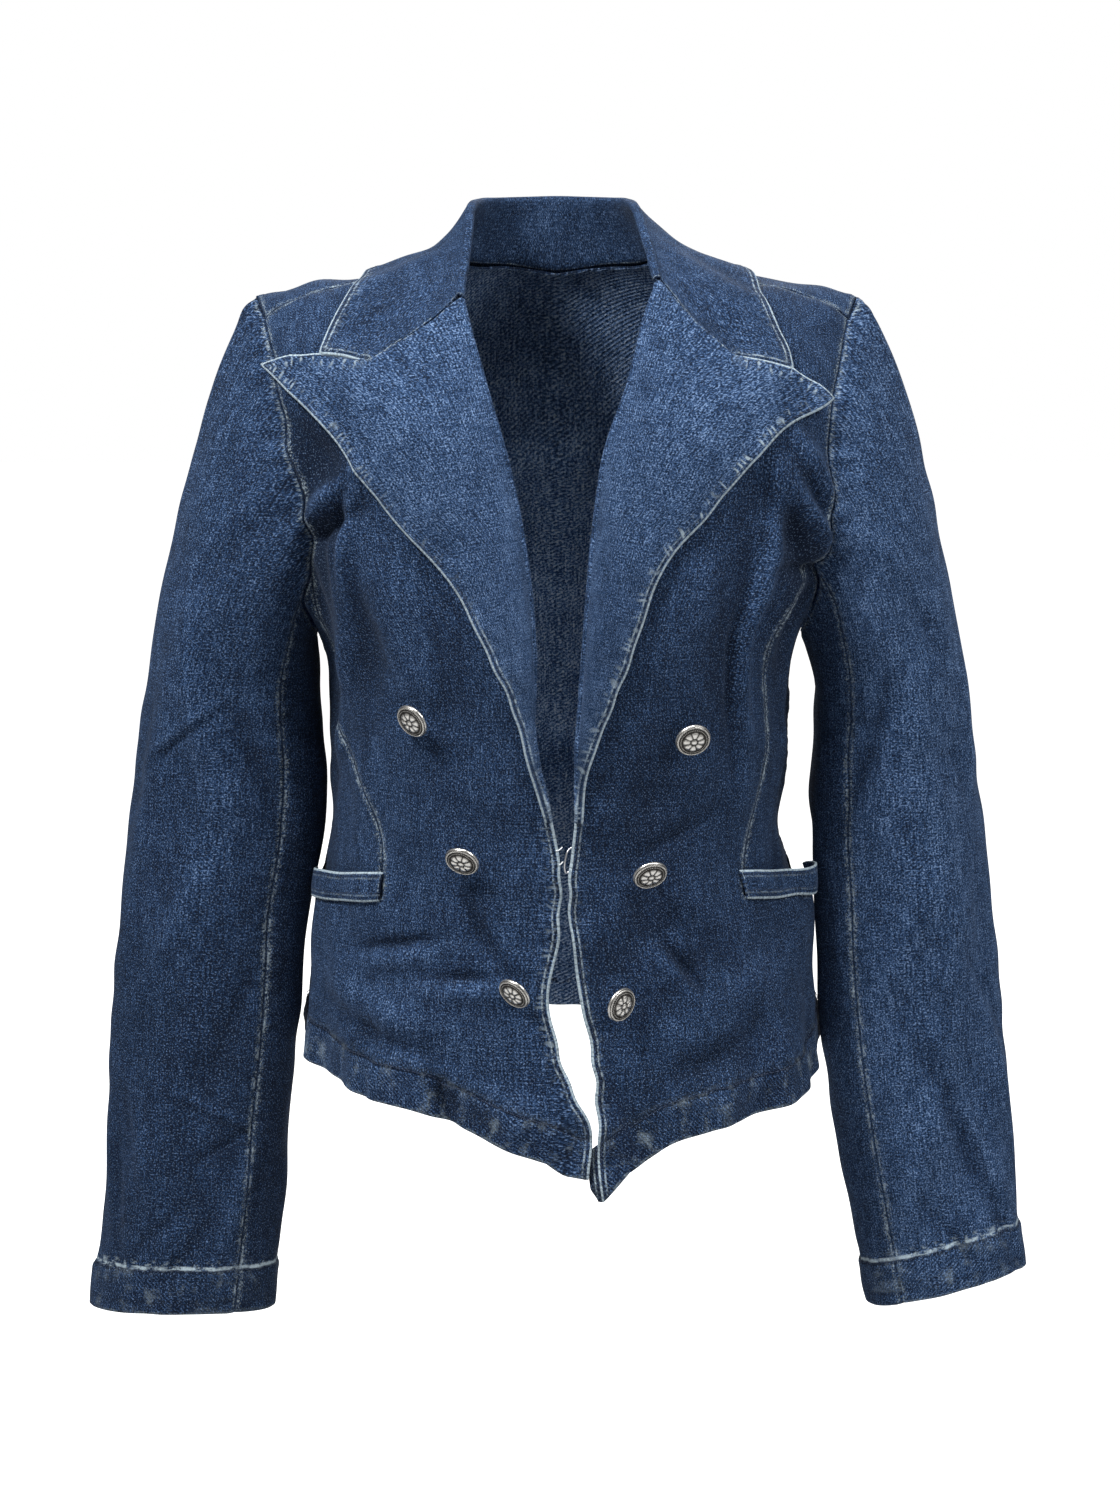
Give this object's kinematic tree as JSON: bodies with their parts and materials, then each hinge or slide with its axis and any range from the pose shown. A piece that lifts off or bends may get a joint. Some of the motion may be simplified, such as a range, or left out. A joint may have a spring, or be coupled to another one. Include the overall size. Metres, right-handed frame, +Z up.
{
  "type": "cropped denim blazer",
  "caption": "Cropped fitted denim blazer in worn form, with peak lapels, open pointed front, welt pockets, two-piece sleeves, shank buttons and a waist hook.",
  "frame": {"origin": "middle of the neck at the height of the side neck points, inside the neckline", "axes": "+Z up, the fronts face -Y, +X towards the wearer's left"},
  "size_m": [0.6054, 0.2507, 0.7093],
  "materials": {
    "denim": "washed indigo twill, paler along seams and edges",
    "button_metal": "antique silver with dark recesses",
    "hook_metal": "plated wire"
  },
  "bodies": {
    "root": {"front_right": "denim", "front_left": "denim", "side_front_right": "denim", "side_front_left": "denim", "side_back_right": "denim", "side_back_left": "denim", "back": "denim", "collar": "denim", "lapel_right": "denim", "lapel_left": "denim", "welt_right": "denim", "welt_left": "denim", "sleeve_upper_right": "denim", "sleeve_upper_left": "denim", "sleeve_under_right": "denim", "sleeve_under_left": "denim", "button_1": "button_metal", "button_2": "button_metal", "button_3": "button_metal", "button_4": "button_metal", "button_5": "button_metal", "button_6": "button_metal", "hook": "hook_metal"}
  },
  "joints": []
}
